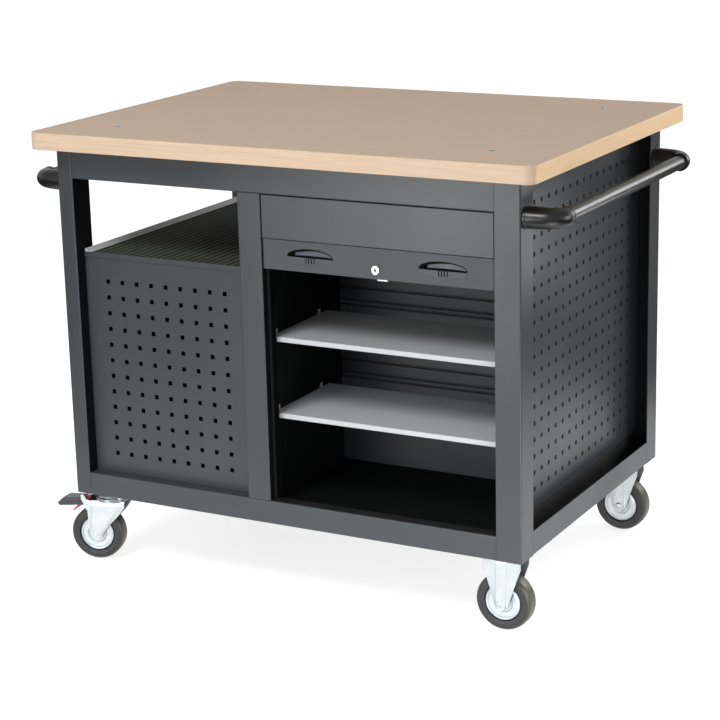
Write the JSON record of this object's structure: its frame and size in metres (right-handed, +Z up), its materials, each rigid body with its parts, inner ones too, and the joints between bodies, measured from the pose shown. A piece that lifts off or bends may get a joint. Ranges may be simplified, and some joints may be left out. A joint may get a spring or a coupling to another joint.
{
  "type": "mobile workbench",
  "caption": "Mobile workbench on castors with a wood board top, roller-shutter cabinet with shelves, tool tray, perforated panels and a push handle at each end.",
  "frame": {"origin": "on the floor under the middle of the frame", "axes": "+Z up, -Y the shutter side, +X the end with the perforated panel"},
  "size_m": [1.2878, 0.86, 1.0023],
  "materials": {
    "frame_coat": "satin anthracite powder coat on folded sheet steel",
    "shelf_coat": "satin light grey powder coat on sheet steel",
    "board": "clear-sealed wood board with lighter cut edges",
    "mat_rubber": "matt black ribbed rubber",
    "bar_coat": "satin anthracite powder coat on an aluminium section",
    "slat": "satin anthracite coat on aluminium slats",
    "grip_plastic": "moulded dark grey plastic",
    "lock_metal": "nickel-plated lock face",
    "handle_tube": "black coat on steel tube",
    "handle_plastic": "moulded black plastic",
    "zinc": "bright zinc plate on pressed steel",
    "wheel_centre": "pale grey wheel centre",
    "wheel_rubber": "solid black rubber",
    "pedal_plastic": "moulded dark grey plastic"
  },
  "bodies": {
    "frame": {"front_left_post": "frame_coat", "rear_left_post": "frame_coat", "front_right_post": "frame_coat", "rear_right_post": "frame_coat", "mid_post": "frame_coat", "front_top_rail": "frame_coat", "rear_top_rail": "frame_coat", "left_top_rail": "frame_coat", "front_bottom_rail": "frame_coat", "rear_bottom_rail": "frame_coat", "left_bottom_rail": "frame_coat", "right_bottom_rail": "frame_coat", "floor_pan": "frame_coat", "left_front_panel": "frame_coat", "right_end_panel": "frame_coat", "left_end_panel": "frame_coat", "rear_panel": "frame_coat", "tool_tray": "frame_coat", "cabinet_partition": "frame_coat", "cabinet_back_wall": "frame_coat", "shutter_fascia": "frame_coat", "left_shutter_guide": "frame_coat", "right_shutter_guide": "frame_coat", "upper_shelf": "shelf_coat", "lower_shelf": "shelf_coat", "tabletop": "board", "tray_mat": "mat_rubber", "left_push_tube": "handle_tube", "right_push_tube": "handle_tube", "left_front_bracket": "handle_plastic", "left_rear_bracket": "handle_plastic", "right_front_bracket": "handle_plastic", "right_rear_bracket": "handle_plastic", "front_fixed_fork": "zinc", "front_fixed_axle": "zinc", "front_swivel_plate": "zinc", "rear_fixed_fork": "zinc", "rear_fixed_axle": "zinc", "rear_swivel_plate": "zinc"},
    "shutter": {"shutter_bar": "bar_coat", "left_grip": "grip_plastic", "right_grip": "grip_plastic", "curtain_lower": "slat"},
    "shutter_middle": {"curtain_middle": "slat"},
    "shutter_upper": {"curtain_upper": "slat"},
    "lock": {"lock_cylinder": "lock_metal"},
    "front_fixed_wheel": {"front_fixed_hub": "wheel_centre", "front_fixed_tyre": "wheel_rubber"},
    "front_swivel": {"front_swivel_fork": "zinc", "front_swivel_axle": "zinc"},
    "front_swivel_wheel": {"front_swivel_hub": "wheel_centre", "front_swivel_tyre": "wheel_rubber"},
    "front_brake": {"front_brake_pedal": "pedal_plastic"},
    "rear_fixed_wheel": {"rear_fixed_hub": "wheel_centre", "rear_fixed_tyre": "wheel_rubber"},
    "rear_swivel": {"rear_swivel_fork": "zinc", "rear_swivel_axle": "zinc"},
    "rear_swivel_wheel": {"rear_swivel_hub": "wheel_centre", "rear_swivel_tyre": "wheel_rubber"},
    "rear_brake": {"rear_brake_pedal": "pedal_plastic"}
  },
  "joints": [
    {"name": "shutter_slide", "type": "slide", "parent": "frame", "child": "shutter", "axis": [0, 0, -1], "range_m": [0, 0.5126]},
    {"name": "shutter_middle_slide", "type": "slide", "parent": "frame", "child": "shutter_middle", "axis": [0, 0, -1], "range_m": [0, 0.32257]},
    {"name": "shutter_upper_slide", "type": "slide", "parent": "frame", "child": "shutter_upper", "axis": [0, 0, -1], "range_m": [0, 0.13243]},
    {"name": "lock_turn", "type": "hinge", "parent": "shutter", "child": "lock", "pos_m": [0.2295, -0.386, 0.7567], "axis": [0, 1, 0], "range_deg": [0, 90]},
    {"name": "front_fixed_wheel_spin", "type": "hinge", "parent": "frame", "child": "front_fixed_wheel", "pos_m": [0.495, -0.335, 0.0625], "axis": [0, 1, 0], "continuous": true},
    {"name": "front_swivel_turn", "type": "hinge", "parent": "frame", "child": "front_swivel", "pos_m": [-0.495, -0.335, 0.145], "axis": [0, 0, 1], "continuous": true},
    {"name": "front_swivel_wheel_spin", "type": "hinge", "parent": "front_swivel", "child": "front_swivel_wheel", "pos_m": [-0.5317, -0.34484, 0.0625], "axis": [-0.2588, 0.9659, 0], "continuous": true},
    {"name": "front_brake_press", "type": "hinge", "parent": "front_swivel", "child": "front_brake", "pos_m": [-0.52398, -0.34276, 0.138], "axis": [0.2588, -0.9659, 0], "range_deg": [0, 10]},
    {"name": "rear_fixed_wheel_spin", "type": "hinge", "parent": "frame", "child": "rear_fixed_wheel", "pos_m": [0.495, 0.335, 0.0625], "axis": [0, 1, 0], "continuous": true},
    {"name": "rear_swivel_turn", "type": "hinge", "parent": "frame", "child": "rear_swivel", "pos_m": [-0.495, 0.335, 0.145], "axis": [0, 0, 1], "continuous": true},
    {"name": "rear_swivel_wheel_spin", "type": "hinge", "parent": "rear_swivel", "child": "rear_swivel_wheel", "pos_m": [-0.5317, 0.32516, 0.0625], "axis": [-0.2588, 0.9659, 0], "continuous": true},
    {"name": "rear_brake_press", "type": "hinge", "parent": "rear_swivel", "child": "rear_brake", "pos_m": [-0.52398, 0.32723, 0.138], "axis": [0.2588, -0.9659, 0], "range_deg": [0, 10]}
  ],
  "couplings": [
    {"joint": "shutter_middle_slide", "follows": "shutter_slide", "ratio": 0.62908},
    {"joint": "shutter_upper_slide", "follows": "shutter_slide", "ratio": 0.25816}
  ]
}
